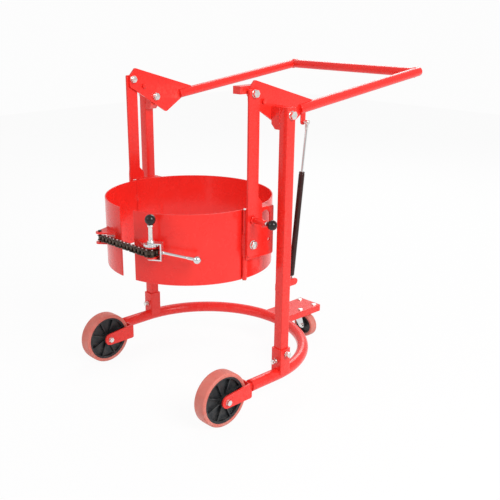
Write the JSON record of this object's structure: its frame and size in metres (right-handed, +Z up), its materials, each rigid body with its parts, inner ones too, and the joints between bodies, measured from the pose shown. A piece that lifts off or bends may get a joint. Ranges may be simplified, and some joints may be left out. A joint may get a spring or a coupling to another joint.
{
  "type": "drum lifter",
  "caption": "Mobile drum lifter: wheeled curved base, two posts, a hand lever with links, and a hinged clamp band closed by a ratchet chain that grips, lifts and tilts a drum.",
  "frame": {"origin": "on the ground, at the middle of the whole part's width and length", "axes": "+Z up, +Y towards the handle and caster, +X to the left of an operator who stands at the handle"},
  "size_m": [0.8356, 1.2215, 1.1251],
  "materials": {
    "red_paint": "gloss enamel",
    "zinc_plate": "bright zinc plate",
    "chain_steel": "dark oiled steel",
    "black_plastic": "satin moulded",
    "red_polyurethane": "satin cast",
    "cylinder_paint": "gloss",
    "chrome": "polished"
  },
  "bodies": {
    "frame": {"base_tube": "red_paint", "front_fork_left": "red_paint", "front_fork_right": "red_paint", "post_left": "red_paint", "post_right": "red_paint", "post_socket_left": "red_paint", "post_socket_right": "red_paint", "front_screw_left": "zinc_plate", "front_screw_right": "zinc_plate", "side_screw_left": "zinc_plate", "side_screw_right": "zinc_plate", "lever_pivot_bolt_left": "zinc_plate", "lever_pivot_bolt_right": "zinc_plate", "front_axle_left": "zinc_plate", "front_axle_right": "zinc_plate", "caster_deck": "red_paint", "caster_plate": "zinc_plate"},
    "lever": {"lever_plate_left": "red_paint", "lever_plate_right": "red_paint", "handle_tube_left": "red_paint", "handle_tube_right": "red_paint", "handle_cross_tube": "red_paint", "hang_bolt_left": "zinc_plate", "hang_bolt_right": "zinc_plate", "link_stop_bolt_left": "zinc_plate", "link_stop_bolt_right": "zinc_plate"},
    "hanger": {"link_left": "red_paint", "link_right": "red_paint", "trunnion_nut_left": "zinc_plate", "trunnion_nut_right": "zinc_plate", "index_housing": "zinc_plate"},
    "index_plunger": {"index_pin": "black_plastic"},
    "clamp": {"saddle": "red_paint", "trunnion_bracket_left": "red_paint", "trunnion_bracket_right": "red_paint", "hinge_pin_left": "zinc_plate", "hinge_pin_right": "zinc_plate"},
    "left_wing": {"wing_left": "red_paint", "chain_lug_left": "red_paint"},
    "right_wing": {"wing_right": "red_paint", "chain_lug_right": "red_paint", "chain_anchor_pin": "black_plastic"},
    "chain_winder": {"sprocket": "chain_steel", "chain_wound_end": "chain_steel"},
    "ratchet_lever": {"ratchet_yoke": "zinc_plate", "ratchet_handle": "chrome"},
    "ratchet_release": {"lift_pin": "black_plastic"},
    "chain_near": {"chain_section_1": "chain_steel"},
    "chain_far": {"chain_section_2": "chain_steel"},
    "left_wheel": {"front_tyre_left": "red_polyurethane", "front_core_left": "black_plastic"},
    "right_wheel": {"front_tyre_right": "red_polyurethane", "front_core_right": "black_plastic"},
    "caster_swivel": {"caster_fork": "zinc_plate", "caster_axle": "zinc_plate"},
    "caster_wheel": {"caster_tyre": "red_polyurethane", "caster_core": "black_plastic"},
    "spring_cylinder": {"gas_cylinder": "cylinder_paint"},
    "spring_rod": {"gas_rod": "chrome"}
  },
  "joints": [
    {"name": "lever_lift", "type": "hinge", "parent": "frame", "child": "lever", "pos_m": [-0.0088, -0.17123, 1.017], "axis": [1, 0, 0], "range_deg": [0, 56]},
    {"name": "hanger_level", "type": "hinge", "parent": "lever", "child": "hanger", "pos_m": [-0.0088, -0.27323, 1.0865], "axis": [1, 0, 0], "range_deg": [-56, 0]},
    {"name": "index_release", "type": "slide", "parent": "hanger", "child": "index_plunger", "axis": [1, 0, 0], "range_m": [-0.006, 0]},
    {"name": "clamp_tilt", "type": "hinge", "parent": "hanger", "child": "clamp", "pos_m": [-0.0088, -0.27323, 0.6], "axis": [-1, 0, 0], "range_deg": [-90, 0]},
    {"name": "left_wing_open", "type": "hinge", "parent": "clamp", "child": "left_wing", "pos_m": [0.2917, -0.28773, 0.596], "axis": [0, 0, 1], "range_deg": [0, 55]},
    {"name": "right_wing_open", "type": "hinge", "parent": "clamp", "child": "right_wing", "pos_m": [-0.3093, -0.28773, 0.596], "axis": [0, 0, -1], "range_deg": [0, 55]},
    {"name": "chain_wind", "type": "hinge", "parent": "left_wing", "child": "chain_winder", "pos_m": [0.15105, -0.56763, 0.6], "axis": [0, 0, 1], "range_deg": [0, 45]},
    {"name": "ratchet_swing", "type": "hinge", "parent": "left_wing", "child": "ratchet_lever", "pos_m": [0.15105, -0.56763, 0.6], "axis": [0, 0, -1], "range_deg": [0, 90]},
    {"name": "ratchet_lift", "type": "slide", "parent": "ratchet_lever", "child": "ratchet_release", "axis": [0, 0, 1], "range_m": [0, 0.008], "stiffness_N_per_m": 200, "springref_m": -0.01},
    {"name": "chain_swing", "type": "hinge", "parent": "right_wing", "child": "chain_near", "pos_m": [-0.09562, -0.59678, 0.6], "axis": [0, 0, -1], "range_deg": [0, 60]},
    {"name": "chain_bend", "type": "hinge", "parent": "chain_near", "child": "chain_far", "pos_m": [0.01859, -0.59212, 0.6], "axis": [0, 0, -1], "range_deg": [0, 21]},
    {"name": "left_wheel_roll", "type": "hinge", "parent": "frame", "child": "left_wheel", "pos_m": [0.3317, -0.43323, 0.0975], "axis": [1, 0, 0], "continuous": true},
    {"name": "right_wheel_roll", "type": "hinge", "parent": "frame", "child": "right_wheel", "pos_m": [-0.3493, -0.43323, 0.0975], "axis": [1, 0, 0], "continuous": true},
    {"name": "caster_turn", "type": "hinge", "parent": "frame", "child": "caster_swivel", "pos_m": [-0.0088, 0.33677, 0.1], "axis": [0, 0, 1], "continuous": true},
    {"name": "caster_roll", "type": "hinge", "parent": "caster_swivel", "child": "caster_wheel", "pos_m": [0.0252, 0.33677, 0.05], "axis": [0, 1, 0], "continuous": true},
    {"name": "spring_swing", "type": "hinge", "parent": "frame", "child": "spring_cylinder", "pos_m": [0.3212, -0.09023, 0.434], "axis": [1, 0, 0], "range_deg": [0, 3.4]},
    {"name": "spring_stroke", "type": "slide", "parent": "spring_cylinder", "child": "spring_rod", "axis": [0, 0.1011, 0.9949], "range_m": [0, 0.13]}
  ],
  "couplings": [
    {"joint": "hanger_level", "follows": "lever_lift", "ratio": -1},
    {"joint": "spring_swing", "follows": "lever_lift", "ratio": 0.05823},
    {"joint": "spring_stroke", "follows": "lever_lift", "m_per_rad": 0.13213},
    {"joint": "chain_swing", "follows": "left_wing_open", "ratio": 1.0909},
    {"joint": "chain_bend", "follows": "left_wing_open", "ratio": 0.38182}
  ]
}
